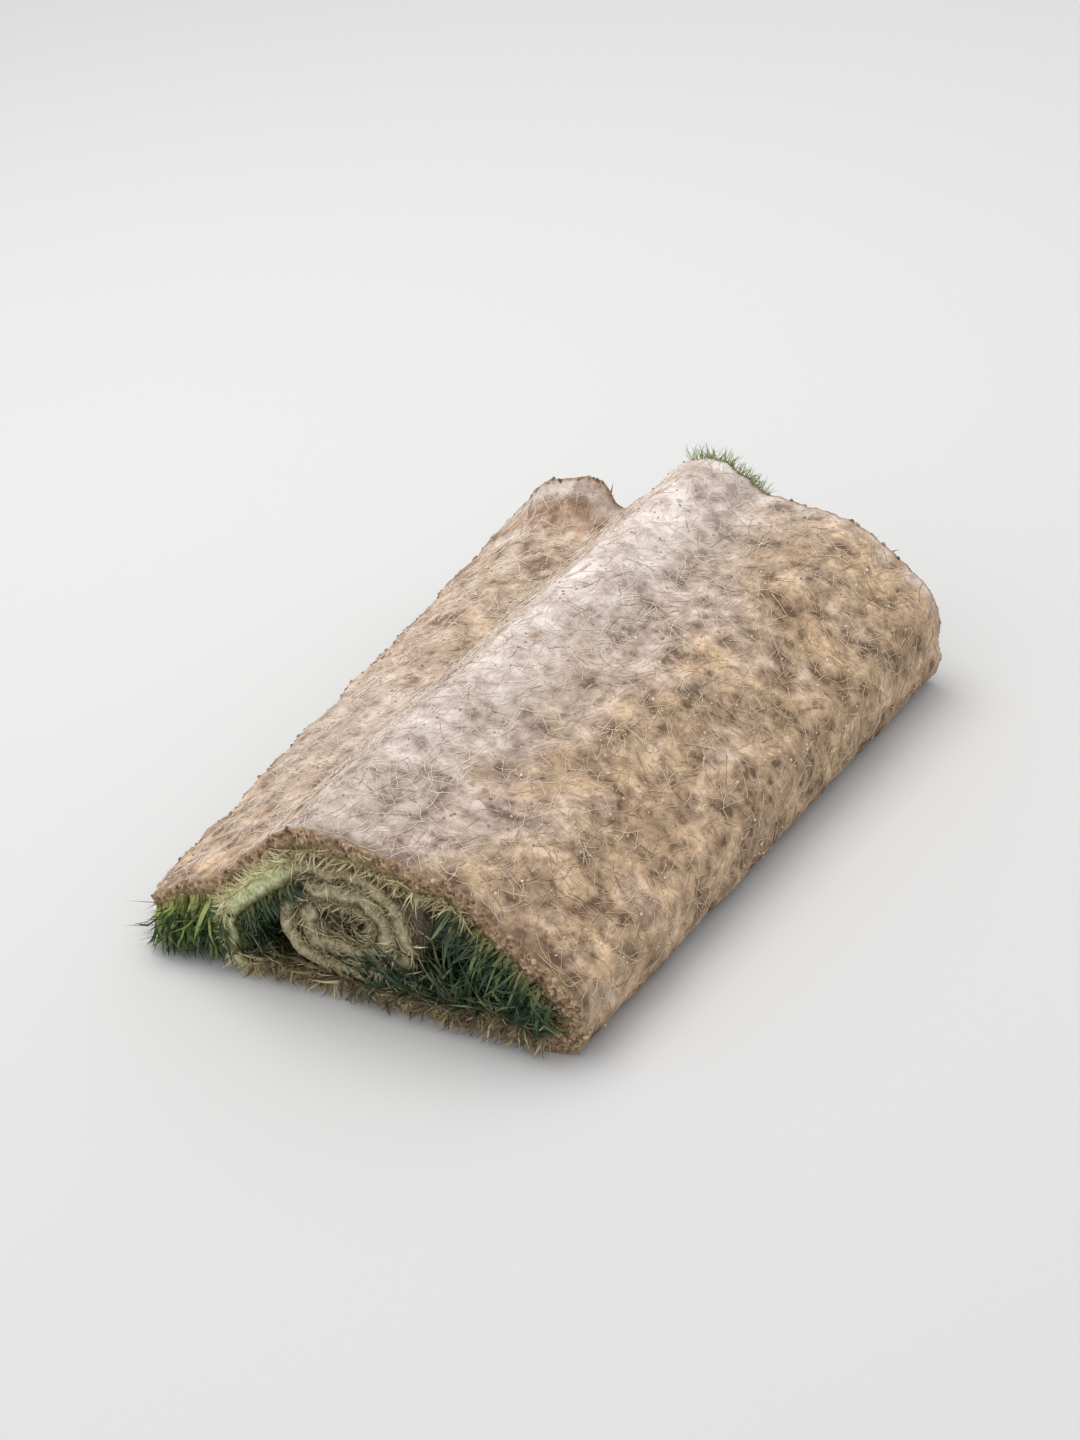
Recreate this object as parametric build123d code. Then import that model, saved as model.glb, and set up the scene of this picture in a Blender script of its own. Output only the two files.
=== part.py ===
from build123d import *
from math import hypot
import os

# A roll of turf: one strip of sod, wound with its grass side in, lying on its side with the
# loose end draped to the left. Y runs along the roll and Z is up. At each end of the roll,
# "across" is measured in from the right-hand side and "height" up from the ground.

# The strip
roll_length = 610
strip_thickness = 18
turn_gap = 1.5

# The turns are pressed together, and part only this far in from each end of the roll
parting_depth = 14

# Near end: corners of the outer turn, from the tip of the loose end to the foot on the right.
# A run is how much farther across the corner is than the next one towards the valley.
near_tip_run = 29
near_tip_height = 50
near_hump_run = 20
near_hump_height = 66
near_hump_radius = 30
near_brow_run = 32
near_brow_height = 75
near_brow_radius = 30
near_valley_across = 332
near_valley_height = 89
near_valley_radius = 70
near_ridge_across = 245
near_ridge_height = 159
near_ridge_radius = 60
near_crest_across = 150
near_crest_height = 143
near_crest_radius = 100
near_shoulder_across = 88
near_shoulder_height = 134
near_shoulder_radius = 80
near_side_across = -2
near_side_height = 56
near_side_radius = 36
near_foot_across = 0
near_foot_radius = 28

# Far end, where the outer turn is looser and stands taller, with its loose corner turned up
far_tip_run = 55
far_tip_height = 84
far_hump_run = 62
far_hump_height = 142
far_hump_radius = 60
far_brow_run = 18
far_brow_height = 153
far_brow_radius = 28
far_valley_across = 312
far_valley_height = 111
far_valley_radius = 12
far_ridge_across = 216
far_ridge_height = 200
far_ridge_radius = 36
far_crest_across = 158
far_crest_height = 164
far_crest_radius = 40
far_shoulder_across = 60
far_shoulder_height = 150
far_shoulder_radius = 75
far_side_across = -10
far_side_height = 88
far_side_radius = 40
far_foot_across = -8
far_foot_radius = 30

# The loose corner starts to turn up at a crease this far short of the far end
crease_length = 48
crease_tip_run = 50
crease_tip_height = 81
crease_hump_run = 34
crease_hump_height = 103
crease_hump_radius = 60
crease_brow_run = 28
crease_brow_height = 105
crease_brow_radius = 30
crease_valley_across = 332
crease_valley_height = 99
crease_valley_radius = 20

# The wound part, the same all along the roll: the strip turns up at the heel, which stands
# under the near valley, comes back as the second turn, and coils to the right of it
heel_radius = 32
second_turn_radius = 38
coil_top_radius = 22
coil_stretch = 36
eye_radius = 4

pitch = strip_thickness + turn_gap

# The coil fills the height under the outer turn at the near end
coil_top = min(near_ridge_height, near_crest_height) - pitch
coil_radius = (coil_top - pitch) / 2
half_turns = 1 + int((coil_radius - strip_thickness - eye_radius) / (pitch / 2))

# The second turn lies against the underside of the near end's loose end, and the coil as
# far left as it can, touching both the base and the second turn
heel_across = near_valley_across
slope = (near_ridge_height - near_valley_height) / (near_valley_across - near_ridge_across)
steepness = hypot(1, slope)
under_valley_height = near_valley_height - pitch * steepness
second_turn_top_across = near_valley_across - (coil_top - under_valley_height) / slope
coil_across = near_valley_across - (coil_top / 2 * (1 + steepness) - under_valley_height) / slope

# The outer turn ends under the right-hand side of the coil, where the wound part takes over
seam_across = coil_across - coil_stretch

near_brow_across = near_valley_across + near_brow_run
near_hump_across = near_brow_across + near_hump_run
near_tip_across = near_hump_across + near_tip_run
far_brow_across = far_valley_across + far_brow_run
far_hump_across = far_brow_across + far_hump_run
far_tip_across = far_hump_across + far_tip_run
crease_brow_across = crease_valley_across + crease_brow_run
crease_hump_across = crease_brow_across + crease_hump_run
crease_tip_across = crease_hump_across + crease_tip_run

# Corners are (across, height, radius), from the tip of the loose end over the ridge, down
# the right-hand side and back under the roll
near_corners = [
    (near_tip_across, near_tip_height, 0),
    (near_hump_across, near_hump_height, near_hump_radius),
    (near_brow_across, near_brow_height, near_brow_radius),
    (near_valley_across, near_valley_height, near_valley_radius),
    (near_ridge_across, near_ridge_height, near_ridge_radius),
    (near_crest_across, near_crest_height, near_crest_radius),
    (near_shoulder_across, near_shoulder_height, near_shoulder_radius),
    (near_side_across, near_side_height, near_side_radius),
    (near_foot_across, 0, near_foot_radius),
    (seam_across, 0, 0),
]
far_corners = [
    (far_tip_across, far_tip_height, 0),
    (far_hump_across, far_hump_height, far_hump_radius),
    (far_brow_across, far_brow_height, far_brow_radius),
    (far_valley_across, far_valley_height, far_valley_radius),
    (far_ridge_across, far_ridge_height, far_ridge_radius),
    (far_crest_across, far_crest_height, far_crest_radius),
    (far_shoulder_across, far_shoulder_height, far_shoulder_radius),
    (far_side_across, far_side_height, far_side_radius),
    (far_foot_across, 0, far_foot_radius),
    (seam_across, 0, 0),
]


def at_crease(near_size, far_size):
    """A size at the crease, most of the way from its near to its far value."""
    return near_size + (far_size - near_size) * (1 - crease_length / roll_length)


crease_corners = [tuple(map(at_crease, n, f)) for n, f in zip(near_corners, far_corners)]
crease_corners[:4] = [
    (crease_tip_across, crease_tip_height, 0),
    (crease_hump_across, crease_hump_height, crease_hump_radius),
    (crease_brow_across, crease_brow_height, crease_brow_radius),
    (crease_valley_across, crease_valley_height, crease_valley_radius),
]

wound_corners = [
    (seam_across, 0, 0),
    (heel_across, 0, heel_radius),
    (heel_across, under_valley_height, second_turn_radius),
    (second_turn_top_across, coil_top, coil_top_radius),
    (coil_across, coil_top, 0),
]


def rounded(corners):
    """The root face of the strip along these corners, as straight runs and arcs."""
    path = FilletPolyline(
        [(-across, height) for across, height, _ in corners],
        radius=[radius for _, _, radius in corners[1:-1]],
    )
    return list(path.order_edges())


def grass_face(run):
    """The grass face of one run of the strip, one thickness in from its root face."""
    inner = []
    for share in (0, 0.5, 1):
        along = run % share
        inner.append(run @ share + Vector(along.Y, -along.X) * strip_thickness)
    if run.geom_type == GeomType.LINE:
        return Line(inner[0], inner[2]).edge()
    return ThreePointArc(*inner).edge()


def strip_section(runs):
    """The strip cut across, between its root face and its grass face."""
    inside = [grass_face(run) for run in runs]
    start_end = Edge.make_line(inside[0] @ 0, runs[0] @ 0)
    finish_end = Edge.make_line(runs[-1] @ 1, inside[-1] @ 1)
    return Face(Wire([start_end] + runs + [finish_end] + inside[::-1]))


def place(face, along):
    """Stand a section up at its place along the roll."""
    return Plane.XZ.offset(-along) * face


outer_turn = loft(
    [
        place(strip_section(rounded(near_corners)), 0),
        place(strip_section(rounded(crease_corners)), roll_length - crease_length),
        place(strip_section(rounded(far_corners)), roll_length),
    ],
    ruled=True,
)

# The wound part's turns: a half turn after each level run, one inside the other
wound_runs = rounded(wound_corners)
radius = coil_radius
for _ in range(half_turns):
    start, direction = wound_runs[-1] @ 1, wound_runs[-1] % 1
    level_run = Line(start, start + direction * coil_stretch).edge()
    half_turn = JernArc(level_run @ 1, direction, radius, -180).edge()
    wound_runs += [level_run, half_turn]
    radius -= pitch / 2

# Its outline is the second turn and the first half turn of the coil, closed on the ground
outline_runs = wound_runs[: -2 * (half_turns - 1)]
ground_end = wound_runs[0] @ 0
closing_line = Line(outline_runs[-1] @ 1, ground_end).edge()
outline = Face(Wire(outline_runs + [closing_line]))
partings = outline - strip_section(wound_runs)

wound_part = extrude(place(outline, 0), roll_length, dir=(0, 1, 0))
near_partings = extrude(place(partings, 0), parting_depth, dir=(0, 1, 0))
far_partings = extrude(place(partings, roll_length), parting_depth, dir=(0, -1, 0))
turf = outer_turn + wound_part - near_partings - far_partings

# The origin is on the ground, under the middle of the roll
reach = turf.bounding_box()
turf_roll = Pos(-reach.center().X, -reach.center().Y, -reach.min.Z) * turf

os.makedirs("parts", exist_ok=True)
export_step(turf_roll, "parts/turf_roll.step")
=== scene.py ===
import math
import bmesh
import bpy
import numpy as np
from mathutils import Matrix, Vector, noise


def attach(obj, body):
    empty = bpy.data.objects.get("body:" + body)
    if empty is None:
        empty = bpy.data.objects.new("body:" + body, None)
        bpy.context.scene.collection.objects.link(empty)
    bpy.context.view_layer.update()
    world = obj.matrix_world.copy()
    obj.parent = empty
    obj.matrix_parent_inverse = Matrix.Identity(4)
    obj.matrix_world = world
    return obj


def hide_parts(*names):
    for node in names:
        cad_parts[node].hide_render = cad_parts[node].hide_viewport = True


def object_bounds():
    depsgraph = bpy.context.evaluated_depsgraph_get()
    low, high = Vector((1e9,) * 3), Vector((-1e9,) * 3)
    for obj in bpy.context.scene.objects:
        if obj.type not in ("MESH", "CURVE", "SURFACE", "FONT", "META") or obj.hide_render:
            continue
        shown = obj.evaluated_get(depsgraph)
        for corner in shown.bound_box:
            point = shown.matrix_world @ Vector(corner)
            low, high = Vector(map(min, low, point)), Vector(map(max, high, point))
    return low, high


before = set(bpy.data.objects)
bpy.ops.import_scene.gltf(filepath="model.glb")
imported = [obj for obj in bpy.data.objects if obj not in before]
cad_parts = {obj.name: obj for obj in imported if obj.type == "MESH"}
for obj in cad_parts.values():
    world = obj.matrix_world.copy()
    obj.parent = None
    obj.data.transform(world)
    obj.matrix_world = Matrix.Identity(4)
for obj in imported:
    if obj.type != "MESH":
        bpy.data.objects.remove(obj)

cad_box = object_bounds()


# The mat of soil and roots
# One strip of sod, cut 610 mm wide and rolled with its grass side in, so that its pale
# underside of matted roots and dry soil shows all over the outside. Its torn loose end
# drapes down the left, and the far corner of that end is turned up.

roll_length = 0.610
mat_thickness = 0.0145
coil_mat_thickness = 0.0150
turn_pitch = 0.0195
column_spacing = 0.0046
coil_column_spacing = 0.0065
row_count = 134

# Corners of the outer turn as (across from the right-hand side, height, radius)
near_corners = [
    (0.413, 0.050, 0), (0.384, 0.066, 0.030), (0.364, 0.075, 0.030), (0.332, 0.089, 0.070),
    (0.245, 0.159, 0.060), (0.150, 0.143, 0.100), (0.088, 0.134, 0.080),
    (-0.002, 0.056, 0.036), (0, 0, 0.028),
]
far_corners = [
    (0.447, 0.084, 0), (0.392, 0.142, 0.060), (0.330, 0.153, 0.028), (0.312, 0.111, 0.012),
    (0.216, 0.200, 0.036), (0.158, 0.164, 0.040), (0.060, 0.150, 0.075),
    (-0.010, 0.088, 0.040), (-0.008, 0, 0.030),
]

# The places of the corners in those lists that later lines need
valley_corner = 3
ridge_corner = 4
crest_corner = 5
shoulder_corner = 6
right_corner = 7
foot_corner = 8

# Close to the far end the loose end is creased, and turned up past the crease
crease_from_end = 0.048
crease_share = 1 - crease_from_end / roll_length
crease_easing = 1.5
crease_turned_up = [
    (0.444, 0.081, 0), (0.394, 0.103, 0.060), (0.360, 0.105, 0.030), (0.332, 0.099, 0.020),
]

# The wound part: the heel on the left, the second turn under the loose end, and the coil
heel_radius = 0.032
second_turn_radius = 0.038
coil_top_radius = 0.022
coil_stretch = 0.036
half_turns = 4
coil_top = near_corners[crest_corner][1] - turn_pitch
coil_radius = (coil_top - turn_pitch) / 2

valley_across, valley_height = near_corners[valley_corner][:2]
ridge_across, ridge_height = near_corners[ridge_corner][:2]
slope = (ridge_height - valley_height) / (valley_across - ridge_across)
steepness = math.hypot(1, slope)
under_valley = valley_height - turn_pitch * steepness
second_turn_top = valley_across - (coil_top - under_valley) / slope
coil_across = valley_across - (coil_top / 2 * (1 + steepness) - under_valley) / slope
seam_across = coil_across - coil_stretch
near_corners.append((seam_across, 0, 0))
far_corners.append((seam_across, 0, 0))
crease_corners = [
    tuple(start + (end - start) * crease_share for start, end in zip(near, far))
    for near, far in zip(near_corners, far_corners)
]
crease_corners[:valley_corner + 1] = crease_turned_up
wound_corners = [
    (seam_across, 0, 0), (valley_across, 0, heel_radius),
    (valley_across, under_valley, second_turn_radius),
    (second_turn_top, coil_top, coil_top_radius), (coil_across, coil_top, 0),
]
right_side_x = cad_box[1][0] + far_corners[right_corner][0]


def rounded_runs(corners):
    """Straight runs and arcs through rounded corners, as (length, turn), and their start."""
    points = np.array([(-across, height) for across, height, _ in corners])
    steps = np.diff(points, axis=0)
    lengths = np.hypot(*steps.T)
    headings = np.arctan2(steps[:, 1], steps[:, 0])
    turns = (np.diff(headings) + math.pi) % (2 * math.pi) - math.pi
    radii = np.array([radius for _, _, radius in corners[1:-1]])
    trims = np.concatenate(([0], radii * np.tan(np.abs(turns) / 2), [0]))
    runs = []
    for i, length in enumerate(lengths):
        runs.append((length - trims[i] - trims[i + 1], 0))
        if i < len(turns):
            runs.append((radii[i] * abs(turns[i]), turns[i]))
    return points[0], headings[0], runs


def sample_runs(start, heading, runs, counts):
    """Points along the runs, and the direction across the strip to its grass side."""
    points = []
    across = []
    for (length, turn), count in zip(runs, counts):
        share = np.arange(count) / count
        angles = heading + turn * share
        if turn:
            radius = length / turn
            x = start[0] + radius * (np.sin(angles) - math.sin(heading))
            z = start[1] - radius * (np.cos(angles) - math.cos(heading))
            start = start + radius * np.array([
                math.sin(heading + turn) - math.sin(heading),
                math.cos(heading) - math.cos(heading + turn),
            ])
        else:
            x = start[0] + length * share * math.cos(heading)
            z = start[1] + length * share * math.sin(heading)
            start = start + length * np.array([math.cos(heading), math.sin(heading)])
        points.append(np.column_stack((x, z)))
        across.append(np.column_stack((np.sin(angles), -np.cos(angles))))
        heading += turn
    return np.concatenate(points), np.concatenate(across)


outer_sections = [rounded_runs(corners) for corners in (near_corners, crease_corners, far_corners)]
longest = np.max([[length for length, _ in runs] for _, _, runs in outer_sections], axis=0)
outer_counts = np.maximum(2, np.ceil(longest / column_spacing)).astype(int)
outer_samples = [sample_runs(*section, outer_counts) for section in outer_sections]

wound_start, wound_heading, wound_runs = rounded_runs(wound_corners)
for turn_number in range(half_turns):
    turn_radius = coil_radius - turn_number * turn_pitch / 2
    wound_runs += [(coil_stretch, 0), (math.pi * turn_radius, -math.pi)]
wound_counts = [max(2, math.ceil(length / coil_column_spacing)) for length, _ in wound_runs]
wound_points, wound_across = sample_runs(wound_start, wound_heading, wound_runs, wound_counts)
outer_columns = len(outer_samples[0][0])
column_count = outer_columns + len(wound_points)


def row_weights(shares):
    """How much each row takes of the near, crease and far sections, eased at the crease."""
    rise = np.clip(shares / crease_share, 0, 1)
    turn_up = np.clip((shares - crease_share) / (1 - crease_share), 0, 1) ** crease_easing
    return np.column_stack((1 - rise, rise - turn_up, turn_up))


def strip_sections(shares):
    """Points and across directions of the whole strip at each share of the roll's length."""
    weights = row_weights(shares)
    outer_points = np.einsum("rs,scx->rcx", weights, np.array([sample[0] for sample in outer_samples]))
    outer_across = np.einsum("rs,scx->rcx", weights, np.array([sample[1] for sample in outer_samples]))
    outer_across /= np.linalg.norm(outer_across, axis=2, keepdims=True)
    rows = len(shares)
    points = np.concatenate((outer_points, np.tile(wound_points, (rows, 1, 1))), axis=1)
    across = np.concatenate((outer_across, np.tile(wound_across, (rows, 1, 1))), axis=1)
    return points, across


def noise_field(places, size, seed):
    """Smooth noise from -1 to 1 at each place, with lumps of about the size given."""
    shift = Vector((seed * 7.3, seed * 3.1, seed * 5.7))
    return np.array([noise.noise(Vector(place) / size + shift) for place in places])


def in_space(points, along):
    """Section points and their place along the roll, as places in the roll's frame."""
    x = points[..., 0] + right_side_x
    return np.stack((x, along - roll_length / 2, points[..., 1]), axis=-1)


def column_at(corner):
    """The first column of the arc that rounds one of the outer turn's corners."""
    return int(outer_counts[:2 * corner - 1].sum())


def column_past(corner):
    """The first column past the arc that rounds one of the outer turn's corners."""
    return int(outer_counts[:2 * corner].sum())


# Three runs of the wound part, counted from the seam
heel_run = 1
coil_top_run = 5
first_half_turn_run = 8


def wound_column(run):
    """The first column of one of the wound part's runs."""
    return outer_columns + sum(wound_counts[:run])


# How uneven the mat is, as the height and the width of one swell, lump, grain or tear
swell_size = (0.0030, 0.075)
lump_size = (0.0028, 0.024)
grain_size = (0.0011, 0.009)
end_rag_size = (0.0045, 0.016)
fine_rag_size = (0.0025, 0.006)
edge_tear_size = (0.0055, 0.034)
fine_tear_size = (0.0030, 0.011)
thickness_change = (0.22, 0.03)
coil_relief_share = 0.25
grass_relief_share = 0.5
ragged_share = 0.1
end_setback = 0.004
rim_reach = 0.011
floor_clearance = 0.0006

# Widths across the strip, in columns
rim_fade_in = 3
rim_fade_out = 6
rim_overlap = 2
torn_columns = 4

# The mat's thickness along the outer turn, from the loose edge to the seam
profile_places = (0, 0.1, 0.2, 0.45, 0.6, 0.8, 1)
profile_thickness = (0.65, 0.8, 1.15, 1.2, 1.4, 1.5, 1.15)


def uneven(places, size, seed):
    """Noise as high as the first size given, in lumps about as wide as the second."""
    height, width = size
    return height * noise_field(places, width, seed)


row_shares = np.linspace(0, 1, row_count)
columns = np.arange(column_count)
section_points, section_across = strip_sections(row_shares)
along = np.repeat((row_shares * roll_length)[:, None], column_count, axis=1)
root_places = in_space(section_points, along).reshape(-1, 3)
inward = np.zeros_like(root_places)
inward[:, [0, 2]] = section_across.reshape(-1, 2)

# Both ends are ragged, and the second turn's rim stands out of them
raggedness = uneven(root_places * (1, 0, 1), end_rag_size, seed=4)
raggedness += uneven(root_places * (1, 0, 1), fine_rag_size, seed=5)
end_share = np.abs(2 * np.repeat(row_shares, column_count) - 1)
end_pull = np.clip((end_share - (1 - ragged_share)) / ragged_share, 0, 1) ** 2
end_side = np.sign(np.repeat(row_shares, column_count) - 0.5)
rim_start = wound_column(heel_run)
rim_end = wound_column(coil_top_run + 1)
in_rim = np.clip((columns - rim_start) / rim_fade_in, 0, 1)
in_rim = in_rim * np.clip((rim_end + rim_overlap - columns) / rim_fade_out, 0, 1)
pushed_out = raggedness - end_setback + rim_reach * np.tile(in_rim, row_count)
pulled_in = pushed_out * end_pull * end_side

# The loose edge is torn
out_of_edge = section_points[:, :1] - section_points[:, 1:2]
out_of_edge = out_of_edge / np.linalg.norm(out_of_edge, axis=2, keepdims=True)
loose_edge = root_places.reshape(row_count, column_count, 3)[:, 0] * (0, 1, 0)
tear = uneven(loose_edge, edge_tear_size, seed=10) + uneven(loose_edge, fine_tear_size, seed=11)
tear_share = np.clip(1 - columns / torn_columns, 0, 1)
torn = (tear[:, None] * tear_share)[..., None] * out_of_edge

is_coil = np.tile(columns >= outer_columns, row_count)
strip_share = columns / outer_columns
mat_profile = np.tile(np.interp(strip_share, profile_places, profile_thickness), row_count)
thickness = np.where(is_coil, coil_mat_thickness, mat_thickness * mat_profile)
thickness = thickness * (1 + uneven(root_places, thickness_change, seed=6))
relief = uneven(root_places, swell_size, seed=1) + uneven(root_places, lump_size, seed=2)
relief = relief + uneven(root_places, grain_size, seed=3)
relief = np.where(is_coil, coil_relief_share * relief, relief)
root_side = root_places - inward * relief[:, None]
grass_side = root_places + inward * (thickness - grass_relief_share * relief)[:, None]
for side in (root_side, grass_side):
    side[:, 1] += pulled_in
    side[:, [0, 2]] += torn.reshape(-1, 2)
    side[:, 2] = np.maximum(side[:, 2], floor_clearance)


def grid_faces(rows, columns, first=0):
    """Quads over a grid of vertices that starts at the index given."""
    corner = first + (np.arange(rows - 1)[:, None] * columns + np.arange(columns - 1)).ravel()
    return np.column_stack((corner, corner + 1, corner + columns + 1, corner + columns))


# The places of the grass side follow those of the root side, in the same order
grass_first = row_count * column_count
down_edges = np.arange(row_count - 1) * column_count
along_edges = np.arange(column_count - 1)
last_column = column_count - 1
last_row = (row_count - 1) * column_count


def edge_quads(edge_from, edge_to):
    """Quads that close the gap between the root side and the grass side along an edge."""
    return np.column_stack((edge_from, edge_to, edge_to + grass_first, edge_from + grass_first))


mat_quads = np.concatenate((
    grid_faces(row_count, column_count),
    grid_faces(row_count, column_count, grass_first)[:, ::-1],
    edge_quads(down_edges, down_edges + column_count),
    edge_quads(down_edges + column_count + last_column, down_edges + last_column),
    edge_quads(along_edges + 1, along_edges),
    edge_quads(along_edges + last_row, along_edges + 1 + last_row),
))


def new_mesh_object(name, places, faces):
    """A mesh object from places and faces, linked to the scene and shaded smooth."""
    mesh = bpy.data.meshes.new(name)
    mesh.from_pydata(np.asarray(places).tolist(), [], np.asarray(faces).tolist())
    mesh.validate()
    mesh.polygons.foreach_set("use_smooth", [True] * len(mesh.polygons))
    piece = bpy.data.objects.new(name, mesh)
    bpy.context.scene.collection.objects.link(piece)
    return piece


def point_attribute(piece, name, values, kind="FLOAT", field="value"):
    """Keep a value for each vertex of the piece under the name given."""
    attribute = piece.data.attributes.new(name, kind, "POINT")
    attribute.data.foreach_set(field, np.asarray(values, dtype=np.float32).ravel())


root_mat = new_mesh_object("root_mat", np.concatenate((root_side, grass_side)), mat_quads)
point_attribute(root_mat, "grass_side", np.repeat([0.0, 1.0], grass_first))
grid_shape = (row_count, column_count)
rows = row_shares[:, None]


def mark(name, shares):
    """Keep a share on both faces of the mat, given by row, by column or by both."""
    grid = np.clip(np.broadcast_to(shares, grid_shape), 0, 1)
    point_attribute(root_mat, name, np.tile(grid.ravel(), 2))


def rising(values, start, width):
    """Shares that rise from 0 at the start to 1 a width later."""
    return np.clip((values - start) / width, 0, 1)


def band(values, centre, width):
    """Shares that are 1 at the centre and fade away on both sides of it."""
    return np.exp(-((values - centre) / width) ** 2)


def patchy(size, seed):
    """Unevenness over the mat, by row and column."""
    return uneven(root_places, size, seed).reshape(grid_shape)


# The cut face at each end, the yellowed fringe under it, and the coil and rim that show there
cut_face_share = 0.008
cut_shade = rising(np.abs(2 * rows - 1), 1 - cut_face_share, cut_face_share)
mark("cut_edge", cut_shade)
fringe_places = (0, 0.45, 0.6, 1)
fringe_shares = (1, 1, 0.2, 0)
mark("fringe", cut_shade * np.interp(strip_share, fringe_places, fringe_shares))
mark("wound", columns >= outer_columns)
mark("rim", in_rim)

# Darker towards the near end, less on the ridge, and painted shade darkens the sides close to the ground
near_darkening_width = 0.022
near_darkening_share = 0.75
low_shade_height = 0.034
low_shade_share = 0.9
darkening_patch_size = (0.4, 0.022)
low_patch_share = 0.5
spared_ridge_share = 0.65
spared_ridge_width = 8
ridge_column = (column_at(ridge_corner) + column_past(ridge_corner)) / 2
past_ridge = columns - ridge_column
darkening_patches = patchy(darkening_patch_size, seed=8)
near_darkening = np.clip(1 - rows * roll_length / near_darkening_width + darkening_patches, 0, 1)
spared_ridge = spared_ridge_share * band(past_ridge, 0, spared_ridge_width)
near_darkening = near_darkening_share * near_darkening * (1 - spared_ridge)
height_over_floor = root_places[:, 2].reshape(grid_shape)
# Painted shade: the sides are darkened close to the ground
low_shade = np.clip(1 - height_over_floor / low_shade_height + low_patch_share * darkening_patches, 0, 1)
mark("darkened_edge", np.maximum(near_darkening, low_shade_share * low_shade))

# A painted highlight makes the ridge palest, more so towards the far end
ridge_width = 9
ridge_widening = 14
highlight_at_near_end = 0.3
highlight_patch_size = (1, 0.045)
highlight_patch_middle = 0.95
highlight_patch_most = 1.15
ridge_band = band(past_ridge, 0, np.where(past_ridge > 0, ridge_width + ridge_widening * rows, ridge_width))
ridge_highlight = highlight_at_near_end + (1 - highlight_at_near_end) * rows
highlight_patches = np.clip(highlight_patch_middle + patchy(highlight_patch_size, seed=9), 0, highlight_patch_most)
pale_and_highlit = ridge_band * ridge_highlight * highlight_patches

# Paler too is the far edge right of the ridge, and a painted highlight lies on the crease
far_edge_size = (0.035, 0.020)
far_edge_paleness = 0.55
at_far_edge = rising(rows + patchy(far_edge_size, seed=13), start=0.968, width=0.030)
pale_and_highlit += far_edge_paleness * at_far_edge * (past_ridge > 0)
pale_and_highlit += band(rows, crease_share, width=0.013) * band(columns, centre=9, width=6)

# Paler too is a band across the middle of the loose end, and a painted highlight lies on the rim of its
# turned-up corner
loose_end_gap = 6
loose_end_fade = 14
middle_paleness = 0.25
corner_fade = 6
corner_rim_highlight = 0.7
on_loose_end = np.clip((ridge_column - loose_end_gap - columns) / loose_end_fade, 0, 1)
pale_and_highlit += middle_paleness * band(rows, centre=0.42, width=0.12) * on_loose_end
up_columns = np.clip((column_past(valley_corner) - columns) / corner_fade, 0, 1)
pale_and_highlit += corner_rim_highlight * rising(rows, start=0.970, width=0.015) * up_columns
mark("pale_and_highlit", pale_and_highlit)

# The loose end is a warmer cream, tan along its torn edge, at its near end and in one patch
torn_edge_tan = 0.5
near_end_tan = 1.1
near_end_width = 0.22
patch_tan = 0.4
tanned = torn_edge_tan * band(columns, centre=0, width=7)
tanned = tanned + near_end_tan * np.clip(1 - rows / near_end_width, 0, 1)
tanned = np.minimum(tanned + patch_tan * band(rows, centre=0.63, width=0.09), 1)
mark("loose_end", on_loose_end)
mark("tanned", tanned * on_loose_end)

# The turned-up corner is painted browner, for its soil and for the shade on its face, with few roots on it
corner_patch_size = (1.3, 0.022)
corner_patch_middle = 0.95
corner_past_crease = 0.008
corner_end = 0.985
corner_row_fade = 0.02
up_rows = rising(rows - crease_share, corner_past_crease, corner_row_fade)
up_rows = up_rows * np.clip((corner_end - rows) / corner_row_fade, 0, 1)
turned_up = up_rows * up_columns
mark("turned_up", turned_up * (corner_patch_middle + patchy(corner_patch_size, seed=12)))


class Wiring:
    """A node tree that is built call by call."""

    def __init__(self, tree):
        self.tree = tree

    def feed(self, node, socket, value):
        """Join a source to a socket, or set the socket to a fixed value."""
        if isinstance(value, bpy.types.NodeSocket):
            self.tree.links.new(value, node.inputs[socket])
        else:
            node.inputs[socket].default_value = value

    def add(self, kind, inputs=(), **settings):
        """Add a node with its settings, and with a source or a value for each input named."""
        node = self.tree.nodes.new(kind)
        for key, value in settings.items():
            setattr(node, key, value)
        for socket, value in inputs:
            self.feed(node, socket, value)
        return node

    def work(self, operation, *values):
        """The result of a math node on sockets or numbers."""
        return self.add("ShaderNodeMath", enumerate(values), operation=operation).outputs[0]

    def scaled(self, vector, size):
        """The vector or colour times a number."""
        inputs = [(0, vector), ("Scale", size)]
        return self.add("ShaderNodeVectorMath", inputs, operation="SCALE").outputs[0]


def colour(red, green, blue):
    """A colour given in the 0 to 255 numbers of a screen, as the shader wants it."""
    shares = [value / 255 for value in (red, green, blue)]
    linear = [
        share / 12.92 if share <= 0.04045 else ((share + 0.055) / 1.055) ** 2.4
        for share in shares
    ]
    return (*linear, 1.0)


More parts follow.
